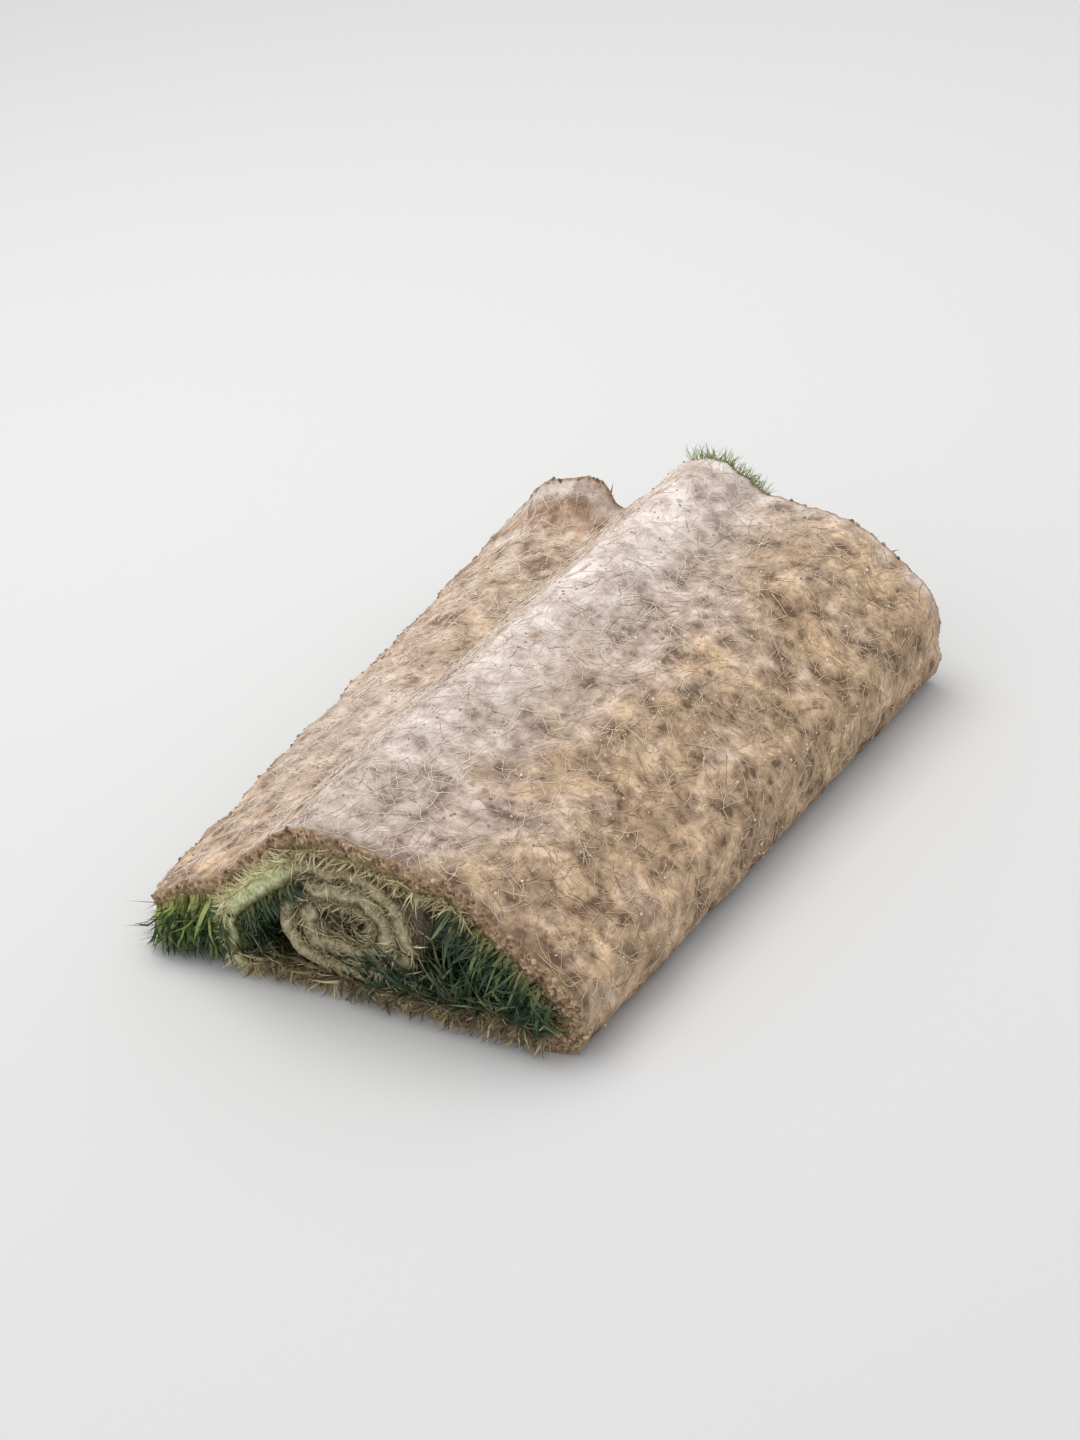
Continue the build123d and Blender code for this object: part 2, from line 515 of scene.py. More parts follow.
class Finish(Wiring):
    """A material of one plain shader, with the colours and bumps that are joined to it."""

    def __init__(self, name, roughness, specular=0.5):
        self.material = bpy.data.materials.new(name)
        self.material.use_nodes = True
        super().__init__(self.material.node_tree)
        self.shader = self.tree.nodes["Principled BSDF"]
        self.shader.inputs["Roughness"].default_value = roughness
        self.shader.inputs["Specular IOR Level"].default_value = specular

    def place(self):
        """The place on the piece, in metres."""
        return self.add("ShaderNodeTexCoord").outputs["Object"]

    def across(self, place):
        """The place from left to right."""
        return self.add("ShaderNodeSeparateXYZ", [("Vector", place)]).outputs["X"]

    def share(self, name):
        """A share that the mesh keeps under the name given."""
        return self.add("ShaderNodeAttribute", attribute_name=name).outputs["Fac"]

    def clouds(self, place, scale, detail, roughness=0.5):
        """Soft noise from 0 to 1."""
        sizes = [("Scale", scale), ("Detail", detail), ("Roughness", roughness)]
        return self.add("ShaderNodeTexNoise", [("Vector", place)] + sizes).outputs["Fac"]

    def ranged(self, value, start, end, low=0.0, high=1.0):
        """A value between start and end, as one between low and high."""
        limits = [("From Min", start), ("From Max", end), ("To Min", low), ("To Max", high)]
        return self.add("ShaderNodeMapRange", [("Value", value)] + limits).outputs["Result"]

    def ramp(self, share, places, *shades):
        """The colour at a share, on a ramp with a shade at each of the places."""
        node = self.add("ShaderNodeValToRGB", [("Fac", share)])
        elements = node.color_ramp.elements
        while len(elements) < len(places):
            elements.new(0.5)
        for element, place, shade in zip(elements, places, shades):
            element.position = place
            element.color = colour(*shade)
        return node.outputs["Color"]

    def mix(self, share, first, second):
        """The first colour where the share is 0, and the second where it is 1."""
        inputs = [(0, share), (6, first), (7, second)]
        return self.add("ShaderNodeMix", inputs, data_type="RGBA").outputs[2]

    def paint(self, source):
        """Give the shader its colour."""
        self.feed(self.shader, "Base Color", source)


# The root side is mottled tan, paler on the left and more orange on the right
right_tint_start = 0.03
right_tint_end = 0.17
tint_wander = 2.6
soil_wander = 0.5
mat = Finish("matted_roots_and_soil", roughness=0.95, specular=0.15)
place = mat.place()
broad = mat.clouds(place, scale=14, detail=3)
blotches = mat.clouds(place, scale=34, detail=3, roughness=0.55)
patches = mat.clouds(place, scale=85, detail=4, roughness=0.6)
clods = mat.clouds(place, scale=210, detail=5, roughness=0.7)
mottle = mat.work("MULTIPLY", mat.work("ADD", blotches, patches), 0.5)
mottle_places = (0.39, 0.455, 0.53, 0.61)
pale_tan = mat.ramp(
    mottle, mottle_places, (126, 108, 97), (171, 151, 138), (199, 179, 166), (230, 213, 203),
)
orange_tan = mat.ramp(
    mottle, mottle_places, (116, 94, 76), (162, 137, 113), (200, 171, 141), (240, 208, 172),
)
warm_cream = mat.ramp(
    mottle, mottle_places, (142, 119, 99), (181, 157, 136), (208, 185, 163), (236, 217, 197),
)
to_right = mat.ranged(mat.across(place), right_tint_start, right_tint_end)
tint = mat.work("MULTIPLY_ADD", broad, tint_wander, to_right)
side_share = mat.ranged(tint, start=1.52, end=2.20)
tan_share = mat.work("MAXIMUM", side_share, mat.share("tanned"))
tan = mat.mix(tan_share, mat.mix(mat.share("loose_end"), pale_tan, warm_cream), orange_tan)

# Over it lie the paler parts and painted highlights, the brown corner with its painted shade, and the soil,
# with painted shade on the sides close to the ground
# Pale tan for the paler parts and the painted highlights
pale_and_highlit_tan = mat.ramp(mottle, (0.39, 0.48, 0.61), (206, 189, 179), (238, 224, 216), (254, 248, 244))
# Brown for the turned-up corner, partly painted shade
corner_shade_brown = mat.ramp(mottle, (0.39, 0.50, 0.61), (150, 122, 102), (202, 171, 147), (232, 206, 184))
bare = mat.mix(mat.share("turned_up"), mat.mix(mat.share("pale_and_highlit"), tan, pale_and_highlit_tan), corner_shade_brown)
soil = mat.work("MULTIPLY_ADD", broad, soil_wander, patches)
soil_share = mat.ranged(soil, start=0.84, end=0.96, high=0.52)
soil_and_shade_cover = mat.work("MAXIMUM", soil_share, mat.share("darkened_edge"))
# Soil spots, and the darkened edges, which are painted shade close to the ground
soil_and_shade = mat.mix(soil_and_shade_cover, bare, colour(98, 80, 65))

# The cut faces at the ends are brown on the outer turn, khaki on the coil and light on the rim
outer_edge = mat.ramp(clods, (0.35, 0.52, 0.68), (130, 104, 80), (186, 156, 124), (222, 196, 162))
wound_edge = mat.ramp(clods, (0.35, 0.52, 0.68), (144, 133, 102), (194, 183, 148), (230, 221, 188))
rim_edge = mat.ramp(clods, (0.35, 0.52, 0.68), (158, 160, 112), (206, 208, 160), (236, 238, 206))
edge = mat.mix(mat.share("wound"), outer_edge, mat.mix(mat.share("rim"), wound_edge, rim_edge))
edged = mat.mix(mat.share("cut_edge"), soil_and_shade, edge)

# The grass side is dark thatch, with a yellow fringe at the ends
thatch = mat.ramp(clods, (0.35, 0.55, 0.70), (50, 52, 32), (98, 96, 62), (138, 132, 92))
fringe = mat.ramp(clods, (0.35, 0.52, 0.68), (110, 110, 64), (176, 174, 116), (222, 220, 168))
grass_layer = mat.ranged(mat.share("grass_side"), start=0.6, end=1.0)
mat.paint(mat.mix(grass_layer, edged, mat.mix(mat.share("fringe"), thatch, fringe)))

coarse_bump = mat.add("ShaderNodeBump", [("Height", patches), ("Strength", 0.8), ("Distance", 0.004)])
fine_bump = mat.add("ShaderNodeBump", [
    ("Height", clods), ("Strength", 0.7), ("Distance", 0.002), ("Normal", coarse_bump.outputs["Normal"]),
])
mat.feed(mat.shader, "Normal", fine_bump.outputs["Normal"])
root_mat.data.materials.append(mat.material)

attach(root_mat, "root")
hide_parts("turf_roll")


# The matted roots
# Fine pale roots run all over the cut underside of the sod, pressed flat and tangled, with
# some dry brown ones among them. They are what holds the soil together.

fibre_density = 15500
fibre_length = 0.030
shortest_fibre_share = 0.35
fibre_radius = 0.00032
fibre_wander = 0.006
fibre_lift = 0.0002
fibre_points = 5
fibre_sides = 3
wave_scale = 38.0
wave_strength = 4.0
bare_height = 0.006
root_fade = 0.024
corner_thinning = 0.8
full_turn = 6.2832

root_grid = root_side.reshape(row_count, column_count, 3)
outside_rows = slice(1, row_count - 1)
outside = root_grid[outside_rows, :outer_columns]
root_bed = new_mesh_object("root_bed", outside.reshape(-1, 3), grid_faces(row_count - 2, outer_columns))
bed_height = outside[..., 2].ravel()
up_share = turned_up[outside_rows, :outer_columns].ravel()
bed_share = rising(bed_height, bare_height, root_fade) * (1 - corner_thinning * up_share)
point_attribute(root_bed, "bed", bed_share)


class Nodes(Wiring):
    """A geometry node tree with named inputs, which grows things on a bed."""

    def __init__(self, name, inputs):
        super().__init__(bpy.data.node_groups.new(name, "GeometryNodeTree"))
        self.tree.is_modifier = True
        self.tree.interface.new_socket("Geometry", in_out="INPUT", socket_type="NodeSocketGeometry")
        for label, kind in inputs:
            self.tree.interface.new_socket(label, in_out="INPUT", socket_type="NodeSocket" + kind)
        self.tree.interface.new_socket("Geometry", in_out="OUTPUT", socket_type="NodeSocketGeometry")
        self.inputs = self.tree.nodes.new("NodeGroupInput").outputs

    def kept(self, name, kind="FLOAT"):
        """What each point keeps under the name given."""
        node = self.add("GeometryNodeInputNamedAttribute", [("Name", name)], data_type=kind)
        return node.outputs["Attribute"]

    def random_number(self, low, high, seed=0):
        """A number from low to high that differs from one point to the next."""
        limits = [(2, low), (3, high), ("Seed", seed)]
        return self.add("FunctionNodeRandomValue", limits, data_type="FLOAT").outputs[1]

    def random_vector(self, low, high, seed):
        """A vector from low to high that differs from one point to the next."""
        limits = [(0, low), (1, high), ("Seed", seed)]
        return self.add("FunctionNodeRandomValue", limits, data_type="FLOAT_VECTOR").outputs[0]

    def bed_points(self):
        """Points scattered over the bed, thicker where its share is higher."""
        density = self.work("MULTIPLY", self.kept("bed"), self.inputs["Density"])
        return self.add("GeometryNodeDistributePointsOnFaces", [
            ("Mesh", self.inputs["Geometry"]), ("Density", density), ("Seed", self.inputs["Seed"]),
        ])

    def spun(self, rotation, seed):
        """A rotation, turned by any amount around its own Z axis."""
        spin = self.random_vector((0, 0, 0), (0, 0, full_turn), seed)
        turn = [("Rotation", rotation), ("Rotate By", spin)]
        return self.add("FunctionNodeRotateRotation", turn, rotation_space="LOCAL").outputs[0]

    def shaded(self, instances, seed):
        """The instances as one real shape, each with a random shade of its own."""
        stored = self.add("GeometryNodeStoreNamedAttribute", [
            ("Geometry", instances), ("Name", "shade"), ("Value", self.random_number(0.0, 1.0, seed)),
        ], domain="INSTANCE", data_type="FLOAT")
        return self.add("GeometryNodeRealizeInstances", [("Geometry", stored.outputs[0])]).outputs[0]

    def placed(self, geometry, **where):
        """The geometry with its points set by a position, an offset or both."""
        inputs = [("Geometry", geometry)]
        inputs += [(socket.capitalize(), value) for socket, value in where.items()]
        return self.add("GeometryNodeSetPosition", inputs).outputs[0]

    def end(self, geometry):
        """Give the last geometry its material and join it to the tree's output."""
        inputs = [("Geometry", geometry), ("Material", self.inputs["Material"])]
        painted = self.add("GeometryNodeSetMaterial", inputs)
        self.add("NodeGroupOutput", [("Geometry", painted.outputs[0])])


def grown(name, bed, nodes, values):
    """The plain mesh that the tree makes from the bed, as an object of its own."""
    grower = bpy.data.objects.new(name + "_grower", bed.data)
    bpy.context.scene.collection.objects.link(grower)
    modifier = grower.modifiers.new(name, "NODES")
    modifier.node_group = nodes.tree
    for item in nodes.tree.interface.items_tree:
        if item.in_out == "INPUT" and item.name in values:
            modifier[item.identifier] = values[item.name]
    depsgraph = bpy.context.evaluated_depsgraph_get()
    mesh = bpy.data.meshes.new_from_object(grower.evaluated_get(depsgraph))
    bpy.data.objects.remove(grower)
    piece = bpy.data.objects.new(name, mesh)
    mesh.name = name
    bpy.context.scene.collection.objects.link(piece)
    return piece


fibres = Nodes("lay_fibres", [
    ("Density", "Float"), ("Seed", "Int"), ("Length", "Float"), ("Radius", "Float"),
    ("Wander", "Float"), ("Lift", "Float"), ("Material", "Material"),
])
given = fibres.inputs
starts = fibres.bed_points()
thread = fibres.add("GeometryNodeCurvePrimitiveLine", [("Start", (-0.5, 0, 0)), ("End", (0.5, 0, 0))])
thread_points = fibres.add("GeometryNodeResampleCurve", [
    ("Curve", thread.outputs["Curve"]), ("Count", fibre_points),
])
real_length = fibres.work("MULTIPLY", fibres.random_number(shortest_fibre_share, 1.0), given["Length"])
laid = fibres.add("GeometryNodeInstanceOnPoints", [
    ("Points", starts.outputs["Points"]), ("Instance", thread_points.outputs["Curve"]),
    ("Rotation", fibres.spun(starts.outputs["Rotation"], given["Seed"])), ("Scale", real_length),
])
threads = fibres.shaded(laid.outputs["Instances"], seed=5)

# The straight threads wander off in waves, and are then pressed on to the mat
where = fibres.add("GeometryNodeInputPosition").outputs[0]
wave = fibres.add("ShaderNodeTexNoise", [
    ("Vector", where), ("W", fibres.kept("shade")), ("Scale", wave_scale), ("Detail", 2.0),
], noise_dimensions="4D")
centred = fibres.add("ShaderNodeVectorMath", [
    (0, wave.outputs["Color"]), (1, (0.5, 0.5, 0.5)),
], operation="SUBTRACT")
drift = fibres.scaled(centred.outputs[0], fibres.work("MULTIPLY", given["Wander"], wave_strength))
nearest = fibres.add("GeometryNodeProximity", [(0, given["Geometry"])], target_element="FACES")
bed_normal = fibres.add("GeometryNodeInputNormal").outputs[0]
normal_there = fibres.add("GeometryNodeSampleNearestSurface", [
    ("Mesh", given["Geometry"]), ("Value", bed_normal),
], data_type="FLOAT_VECTOR")
lift = fibres.scaled(normal_there.outputs[0], given["Lift"])
wavy = fibres.placed(threads, offset=drift)
pressed = fibres.placed(wavy, position=nearest.outputs["Position"], offset=lift)
round_section = fibres.add("GeometryNodeCurvePrimitiveCircle", [
    ("Radius", given["Radius"]), ("Resolution", fibre_sides),
])
tubes = fibres.add("GeometryNodeCurveToMesh", [
    ("Curve", pressed), ("Profile Curve", round_section.outputs["Curve"]), ("Fill Caps", True),
])
fibres.end(tubes.outputs[0])

roots = Finish("root_fibre", roughness=0.9, specular=0.2)
shade = roots.share("shade")
pale_roots = roots.ramp(
    shade, (0.0, 0.12, 0.5, 1.0), (168, 146, 126), (214, 196, 180), (236, 222, 210), (250, 242, 234),
)
warm_roots = roots.ramp(
    shade, (0.0, 0.15, 0.6, 1.0), (146, 118, 90), (192, 164, 132), (222, 198, 166), (240, 222, 194),
)
to_right = roots.ranged(roots.across(roots.place()), right_tint_start, right_tint_end)
roots.paint(roots.mix(to_right, pale_roots, warm_roots))
root_fibres = grown("root_fibres", root_bed, fibres, {
    "Density": fibre_density, "Seed": 3, "Length": fibre_length, "Radius": fibre_radius,
    "Wander": fibre_wander, "Lift": fibre_lift, "Material": roots.material,
})
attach(root_fibres, "root")


# Soil crumbs
# Dry crumbs of soil cling to the roots all over the outside. Browner and larger ones lie
# thick on both cut ends of the outer turn and on its torn loose edge.

crumb_density = 5200
crumb_sizes = (0.0008, 0.0034)
edge_crumb_density = 90000
edge_crumb_sizes = (0.0014, 0.0052)
crumb_kinds = 4
crumb_unevenness = 0.45
crumb_noise_scale = 2.4
crumb_height_share = 0.7
bend_height = 0.010
reach_along = 0.300
reach_across = 0.222
reach_past = 0.024


def closed_lump(name, seed):
    """A small uneven lump of about one unit across."""
    mesh = bpy.data.meshes.new(name)
    shape = bmesh.new()
    bmesh.ops.create_icosphere(shape, subdivisions=1, radius=0.5)
    shift = Vector((seed * 9.1, 0, 0))
    for vertex in shape.verts:
        vertex.co *= 1 + crumb_unevenness * noise.noise(vertex.co * crumb_noise_scale + shift)
        vertex.co.z *= crumb_height_share
    shape.to_mesh(mesh)
    shape.free()
    return bpy.data.objects.new(name, mesh)


def kept_apart(name, pieces):
    """A collection that holds the pieces to be scattered, outside the scene."""
    group = bpy.data.collections.new(name)
    for piece in pieces:
        group.objects.link(piece)
    return group


# Each piece leans at random from the way the bed lies, and is spun and sized at random
scatter = Nodes("scatter", [
    ("Pieces", "Collection"), ("Density", "Float"), ("Seed", "Int"), ("Smallest", "Float"),
    ("Largest", "Float"), ("Lean", "Float"), ("Material", "Material"),
])
given = scatter.inputs
spots = scatter.bed_points()
stray = scatter.random_vector((-1, -1, -1), (1, 1, 1), given["Seed"])
pointing = scatter.add("ShaderNodeVectorMath", [
    (0, scatter.kept("lay", "FLOAT_VECTOR")), (1, scatter.scaled(stray, given["Lean"])),
], operation="ADD")
aligned = scatter.add("FunctionNodeAlignRotationToVector", [("Vector", pointing.outputs[0])], axis="Z")
pieces = scatter.add("GeometryNodeCollectionInfo", [
    ("Collection", given["Pieces"]), ("Separate Children", True), ("Reset Children", True),
])
instances = scatter.add("GeometryNodeInstanceOnPoints", [
    ("Points", spots.outputs["Points"]), ("Instance", pieces.outputs[0]), ("Pick Instance", True),
    ("Rotation", scatter.spun(aligned.outputs[0], seed=11)),
    ("Scale", scatter.random_number(given["Smallest"], given["Largest"], seed=12)),
])
scattered = scatter.shaded(instances.outputs["Instances"], seed=13)

# Whatever would reach below the floor or far out of the roll is bent back, more and more
work = scatter.work
where = scatter.add("GeometryNodeInputPosition").outputs[0]
parts = scatter.add("ShaderNodeSeparateXYZ", [("Vector", where)])


def held_back(place, start):
    """The place along an axis, bent back where it is farther out than the start."""
    outward = work("ABSOLUTE", place)
    past = work("DIVIDE", work("MAXIMUM", work("SUBTRACT", outward, start), 0), reach_past)
    kept = work("SUBTRACT", 1, work("POWER", math.e, work("MULTIPLY", past, -1)))
    reach = work("ADD", work("MINIMUM", outward, start), work("MULTIPLY", kept, reach_past))
    return work("MULTIPLY", reach, work("SIGN", place))


height = parts.outputs["Z"]
under = work("DIVIDE", work("SUBTRACT", height, bend_height), bend_height)
bent_height = work("MULTIPLY", work("POWER", math.e, work("MINIMUM", under, 0)), bend_height)
bent = scatter.add("ShaderNodeCombineXYZ", [
    ("X", held_back(parts.outputs["X"], reach_across)),
    ("Y", held_back(parts.outputs["Y"], reach_along)),
    ("Z", work("ADD", bent_height, work("MAXIMUM", work("SUBTRACT", height, bend_height), 0))),
])
scatter.end(scatter.placed(scattered, position=bent.outputs[0]))


def crumb_material(name, places, *shades):
    """Matt soil whose colour differs from one crumb to the next."""
    soil = Finish(name, roughness=0.95, specular=0.1)
    soil.paint(soil.ramp(soil.share("shade"), places, *shades))
    return soil.material


crumb_shapes = kept_apart("crumb_shapes", [closed_lump(f"crumb_{i}", i) for i in range(crumb_kinds)])


def grow_crumbs(name, bed, material, density, seed, sizes):
    """Crumbs all over the bed, which is then taken away."""
    piece = grown(name, bed, scatter, {
        "Pieces": crumb_shapes, "Density": density, "Seed": seed, "Smallest": sizes[0],
        "Largest": sizes[1], "Lean": 1.0, "Material": material,
    })
    bpy.data.objects.remove(bed)
    return piece


dry_crumbs = crumb_material(
    "dry_soil_crumb", (0.0, 0.35, 0.7, 1.0),
    (150, 129, 110), (190, 168, 148), (218, 199, 180), (242, 228, 212),
)
upward = np.tile([0.0, 0.0, 1.0], (len(bed_height), 1))
point_attribute(root_bed, "lay", upward, "FLOAT_VECTOR", "vector")
soil_crumbs = grow_crumbs(
    "soil_crumbs", root_bed, dry_crumbs, density=crumb_density, seed=21, sizes=crumb_sizes,
)
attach(soil_crumbs, "root")

# The cut face of the outer turn at each end, and then the torn face of its loose edge
grass_grid = grass_side.reshape(row_count, column_count, 3)
edge_places = []
edge_lays = []
for row, way in ((0, -1), (row_count - 1, 1)):
    edge_places += [root_grid[row, :outer_columns], grass_grid[row, :outer_columns]]
    edge_lays.append(np.tile([0.0, way, 0.0], (2 * outer_columns, 1)))
edge_places += [root_grid[:, 0], grass_grid[:, 0]]
edge_lays.append(np.tile([-1.0, 0.0, 0.0], (2 * row_count, 1)))
edge_faces = np.concatenate((
    grid_faces(2, outer_columns), grid_faces(2, outer_columns, 2 * outer_columns),
    grid_faces(2, row_count, 4 * outer_columns),
))
edge_bed = new_mesh_object("edge_bed", np.concatenate(edge_places), edge_faces)
point_attribute(edge_bed, "bed", np.ones(4 * outer_columns + 2 * row_count))
point_attribute(edge_bed, "lay", np.concatenate(edge_lays), "FLOAT_VECTOR", "vector")
brown_crumbs = crumb_material(
    "brown_soil_crumb", (0.0, 0.4, 0.8, 1.0),
    (106, 86, 68), (144, 120, 96), (176, 150, 122), (210, 186, 156),
)
edge_crumbs = grow_crumbs(
    "edge_crumbs", edge_bed, brown_crumbs, density=edge_crumb_density, seed=23, sizes=edge_crumb_sizes,
)
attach(edge_crumbs, "root")


# Grass of the wound turns
# The grass is pressed flat between the turns, so that only its cut and bent blades show at
# the ends of the roll. Kept from the light there, it has gone a dull olive and straw colour.

end_rows = 11
inmost_share = 0.15
thinning_power = 1.4
blade_rings = 3
tip_taper = 0.75
keel_depth = 0.3
bend_shortening = 0.25
root_colour_end = 0.45
# Blades are darkened from here to their tip, as painted shade
painted_shade_start = 0.3
painted_shade_end = 0.9
eye_runs = 3
eye_pull = (0.15, 1.6)


def blade(name, width, bend, twist):
    """One blade of grass, a flat three-sided taper of one unit along Z, bent over and twisted."""
    places = []
    for ring in range(blade_rings):
        share = ring / blade_rings
        half_width = 0.5 * width * (1 - tip_taper * share ** 2)
        angle = twist * share
        for side, depth in ((-half_width, 0), (half_width, 0), (0, -keel_depth * half_width)):
            x = depth * math.cos(angle) - side * math.sin(angle) + bend * share ** 2
            y = depth * math.sin(angle) + side * math.cos(angle)
            places.append((x, y, share * (1 - bend_shortening * abs(bend) * share)))
    places.append((bend, 0, 1 - bend_shortening * abs(bend)))
    faces = [(0, 2, 1)]
    for ring in range(blade_rings - 1):
        for side in range(3):
            corner = ring * 3 + side
            beside = ring * 3 + (side + 1) % 3
            faces.append((corner, beside, beside + 3, corner + 3))
    top = (blade_rings - 1) * 3
    faces += [(top + side, top + (side + 1) % 3, len(places) - 1) for side in range(3)]
    mesh = bpy.data.meshes.new(name)
    mesh.from_pydata(places, [], faces)
    piece = bpy.data.objects.new(name, mesh)
    point_attribute(piece, "tip", [place[2] for place in places])
    return piece


# Five kinds of blade, as their width, bend and twist
blade_kinds = [
    (0.075, 0.10, 0.3), (0.060, 0.35, -0.5), (0.085, 0.55, 0.6), (0.050, -0.25, 0.9), (0.070, 0.80, -0.2),
]
blade_shapes = kept_apart("blade_shapes", [
    blade(f"blade_{i}", *kind) for i, kind in enumerate(blade_kinds)
])
inward_grid = inward.reshape(row_count, column_count, 3)


def grass_bed(
    name, grid, columns, out_pull, inward_pull, down_pull=0,
    rows=end_rows, inmost=inmost_share, ends=(-1, 1),
):
    """The part of the strip near its ends that blades grow from, with the way they lie."""
    places = []
    faces = []
    share = []
    lays = []
    width = columns.stop - columns.start
    for way in ends:
        there = slice(0, rows) if way < 0 else slice(row_count - rows, row_count)
        faces.append(grid_faces(rows, width, sum(len(block) for block in places)))
        places.append(grid[there, columns].reshape(-1, 3))
        nearness = np.linspace(1, inmost, rows)[::-way] ** thinning_power
        share.append(np.repeat(nearness, width))
        lay_there = inward_grid[there, columns] * np.reshape(inward_pull, (-1, 1))
        lay_there[..., 1] += way * out_pull * nearness[:, None]
        lay_there[..., 2] -= down_pull
        lays.append(lay_there.reshape(-1, 3))
    bed = new_mesh_object(name, np.concatenate(places), np.concatenate(faces)[:, ::-1])
    point_attribute(bed, "bed", np.concatenate(share))
    point_attribute(bed, "lay", np.concatenate(lays), "FLOAT_VECTOR", "vector")
    return bed


def grass_material(name, root_shade, places, *shades, tip_painted_shade=1.0):
    """Matt blades that differ in colour, with another shade at their root end. Towards the tip the colour
    is darkened, as painted shade, to the share that the last argument gives."""
    grass = Finish(name, roughness=0.6, specular=0.3)
    tip = grass.share("tip")
    blade_colour = grass.ramp(grass.share("shade"), places, *shades)
    root_to_tip = grass.ranged(tip, 0.0, root_colour_end)
    whole = grass.mix(root_to_tip, colour(*root_shade), blade_colour)
    light = grass.ranged(tip, painted_shade_start, painted_shade_end, 1.0, tip_painted_shade)
    grass.paint(grass.scaled(whole, light))
    return grass.material


def grow_blades(name, bed, material, density, seed, lengths, lean):
    """Blades all over the bed, which is then taken away."""
    piece = grown(name, bed, scatter, {
        "Pieces": blade_shapes, "Density": density, "Seed": seed, "Smallest": lengths[0],
        "Largest": lengths[1], "Lean": lean, "Material": material,
    })
    bpy.data.objects.remove(bed)
    return piece


olive_blades = grass_material(
    "olive_blades", (182, 170, 134), (0.0, 0.35, 0.7, 1.0),
    (130, 120, 94), (180, 167, 134), (205, 194, 156), (236, 226, 190),
)
eye_columns = sum(wound_counts[-eye_runs:])
into_eye = np.interp(np.arange(rim_end, column_count), (column_count - eye_columns, column_count), eye_pull)
coil_bed = grass_bed(
    "coil_bed", grass_grid, slice(rim_end, column_count), out_pull=1.0, inward_pull=into_eye,
)
coil_grass = grow_blades(
    "coil_grass", coil_bed, olive_blades, density=280000.0, seed=31, lengths=(0.009, 0.022), lean=0.75,
)
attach(coil_grass, "root")


# Roots on the wound turns
# Short roots and dead stems cover the root side of the second turn and of the coil where
# the ends of the roll leave them in view.

wound_side = slice(rim_end - rim_overlap, wound_column(first_half_turn_run + 1))
wound_bed = grass_bed(
    "wound_bed", root_grid, wound_side,
    out_pull=1.0, inward_pull=-0.15, down_pull=0.1, rows=14, inmost=0.5,
)
wound_roots = grow_blades(
    "wound_roots", wound_bed, olive_blades, density=150000.0, seed=35, lengths=(0.006, 0.024), lean=0.8,
)
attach(wound_roots, "root")


# Light rim of the second turn
# The second turn ends in a fringe of pale yellow-green blades that catch the light, in an
# arc from under the ridge down to the heel.

rim_bed = grass_bed(
    "rim_bed", root_grid, slice(rim_start, rim_end + rim_overlap),
    out_pull=0.9, inward_pull=-0.35, rows=4, inmost=0.5,
)
light_blades = grass_material(
    "light_blades", (232, 222, 180), (0.0, 0.5, 1.0), (190, 184, 126), (226, 218, 168), (248, 242, 212),
)
rim_blades = grow_blades(
    "rim_blades", rim_bed, light_blades, density=700000.0, seed=37, lengths=(0.008, 0.020), lean=0.85,
)
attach(rim_blades, "root")


# Grass in the hollows
# Between the turns the strip stands open on both sides of the coil, and its grass fills the hollows with
# long green blades that have kept their colour, painted dark for the shade in the hollows and darker still
# towards the tips.

shortest_share = 0.4
# Dark green, partly painted shade for the hollows, with painted shade towards the tips
green_blades = grass_material(
    "green_blades", (148, 148, 96), (0.0, 0.35, 0.7, 1.0),
    (28, 50, 42), (48, 72, 54), (82, 104, 72), (142, 150, 106), tip_painted_shade=0.8,
)
for name, hollow, longest, seed in (
    ("right_hollow", slice(column_at(shoulder_corner), outer_columns), 0.056, 41),
    ("left_hollow", slice(rim_start, rim_end), 0.028, 43),
):
    hollow_bed = grass_bed(name + "_bed", grass_grid, hollow, out_pull=0.8, inward_pull=1.1)
    hollow_grass = grow_blades(
        name + "_grass", hollow_bed, green_blades,
        density=260000.0, seed=seed, lengths=(shortest_share * longest, longest), lean=0.55,
    )
    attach(hollow_grass, "root")


# Grass over the coil
# Short yellowed blades hang from the outer turn where it lies on the coil, and close the
# gap between them.

over_columns = slice(column_at(ridge_corner), column_past(shoulder_corner))
over_bed = grass_bed("over_bed", grass_grid, over_columns, out_pull=0.9, inward_pull=0.3)
yellow_blades = grass_material(
    "yellow_blades", (208, 198, 152), (0.0, 0.5, 1.0), (134, 123, 90), (192, 178, 136), (238, 226, 186),
)
over_grass = grow_blades(
    "over_grass", over_bed, yellow_blades, density=300000.0, seed=47, lengths=(0.008, 0.026), lean=0.7,
)
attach(over_grass, "root")


# Grass under the loose end
# The loose end's grass hangs under it towards the ground, yellowed at the top and green below, with painted
# shade darkening its lower tips, all along its edge and most of all at the two ends.

loose_bed = grass_bed(
    "loose_bed", grass_grid, slice(0, column_at(valley_corner)),
    out_pull=0.8, inward_pull=0.35, down_pull=1.0, rows=row_count // 2, inmost=0.32,
)
# Painted shade darkens the tips of the hanging blades
fresh_blades = grass_material(
    "fresh_blades", (176, 172, 104), (0.0, 0.35, 0.7, 1.0),
    (36, 60, 38), (70, 100, 54), (116, 142, 74), (190, 194, 114), tip_painted_shade=0.45,
)
loose_end_grass = grow_blades(
    "loose_end_grass", loose_bed, fresh_blades, density=290000.0, seed=51, lengths=(0.024, 0.076), lean=0.5,
)
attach(loose_end_grass, "root")


# Straw under the coil
# Dead stems and cut blades, the colour of straw and soil, spill from under the coil at both
# ends and hide the cut edge of the strip that lies on the ground.

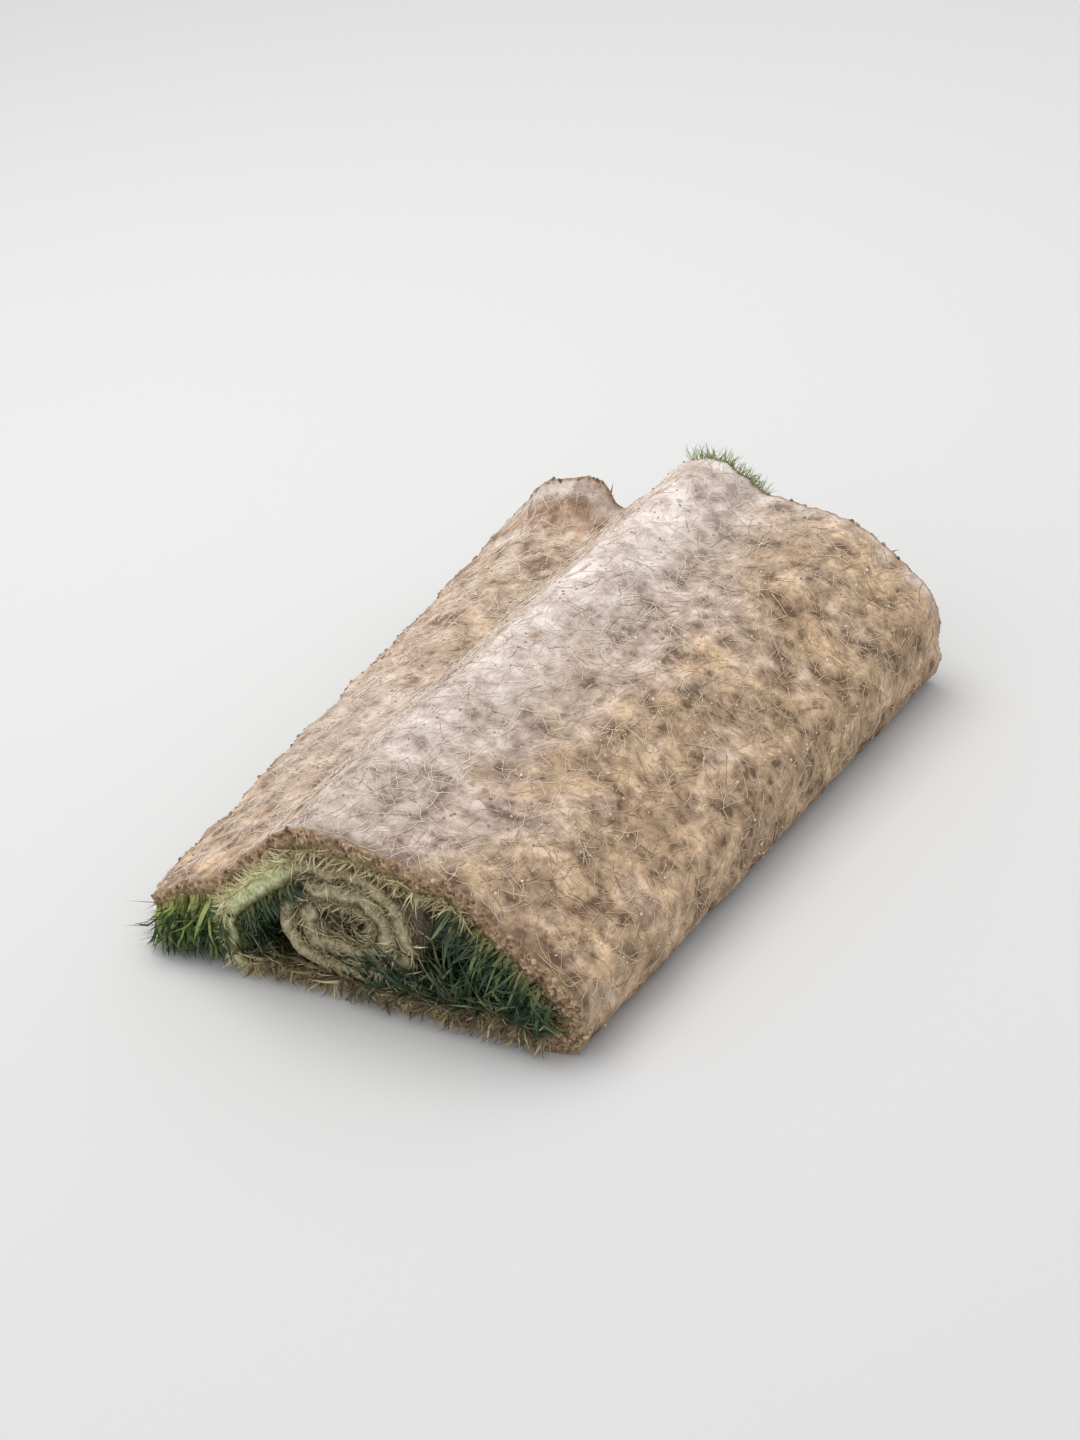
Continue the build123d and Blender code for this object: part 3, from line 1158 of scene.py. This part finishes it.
straw_columns = slice(column_past(foot_corner), wound_column(heel_run + 1))
straw = grass_material(
    "straw", (146, 126, 96), (0.0, 0.4, 0.75, 1.0),
    (80, 68, 52), (128, 114, 84), (172, 156, 118), (210, 196, 156),
)
straw_bed = grass_bed(
    "straw_bed", grass_grid, straw_columns, out_pull=1.0, inward_pull=0.1, down_pull=0.45, rows=5,
)
straw_stems = grow_blades(
    "straw_stems", straw_bed, straw, density=420000.0, seed=61, lengths=(0.010, 0.042), lean=0.95,
)
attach(straw_stems, "root")


# Tuft at the far peak
# A tuft of the lawn's own bright grass stands up behind the highest point of the roll.

past_ridge_start = 2
peak_columns = slice(column_at(ridge_corner) + past_ridge_start, column_past(crest_corner))
tuft_bed = grass_bed(
    "tuft_bed", root_grid, peak_columns, out_pull=0.5, inward_pull=-0.8, rows=2, ends=(1,),
)
lawn_blades = grass_material(
    "lawn_blades", (150, 152, 110), (0.0, 0.5, 1.0), (112, 136, 78), (156, 174, 116), (200, 208, 158),
)
peak_tuft = grow_blades(
    "peak_tuft", tuft_bed, lawn_blades, density=900000.0, seed=71, lengths=(0.008, 0.017), lean=0.5,
)
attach(peak_tuft, "root")


# Floor, light and camera
# A plain pale floor under soft light, seen from where the photograph was taken.

floor_half = 60.0
floor_corners = [(x * floor_half, y * floor_half, 0) for x, y in ((-1, -1), (1, -1), (1, 1), (-1, 1))]
floor = new_mesh_object("floor", floor_corners, [(0, 1, 2, 3)])
pale = Finish("pale_floor", roughness=0.9)
pale.paint((0.72, 0.72, 0.72, 1))
floor.data.materials.append(pale.material)

world = bpy.data.worlds.new("overcast")
world.use_nodes = True
sky = world.node_tree.nodes["Background"]
sky.inputs["Color"].default_value = (0.97, 0.98, 1.0, 1)
sky.inputs["Strength"].default_value = 0.80
bpy.context.scene.world = world


def facing(place, aim):
    """The matrix of a light or camera at the place, turned to the aim."""
    return Matrix.Translation(place) @ (aim - place).to_track_quat("-Z", "Y").to_matrix().to_4x4()


key = bpy.data.lights.new("soft_key", "AREA")
key.shape = "DISK"
key.size = 2.4
key.energy = 40
key.color = (1.0, 0.97, 0.92)
key_object = bpy.data.objects.new("soft_key", key)
bpy.context.scene.collection.objects.link(key_object)
key_place = Vector((-0.9, 0.4, 2.8))
key_object.matrix_world = facing(key_place, Vector((0, 0, 0)))

# The lens is worked out from the picture's height and the distance to its plane, in pixels
camera_place = Vector((1.336, -1.827, 1.422))
camera_aim = Vector((0, 0, 0.085))
camera_roll = math.radians(8)
sensor_height = 36
picture_height = 1440
picture_distance = 3100
camera = bpy.data.cameras.new("camera")
camera.sensor_fit = "VERTICAL"
camera.sensor_height = sensor_height
camera.lens = sensor_height * picture_distance / picture_height
camera_object = bpy.data.objects.new("camera", camera)
bpy.context.scene.collection.objects.link(camera_object)
camera_object.matrix_world = facing(camera_place, camera_aim) @ Matrix.Rotation(-camera_roll, 4, "Z")
bpy.context.scene.camera = camera_object
bpy.context.scene.view_settings.view_transform = "Standard"
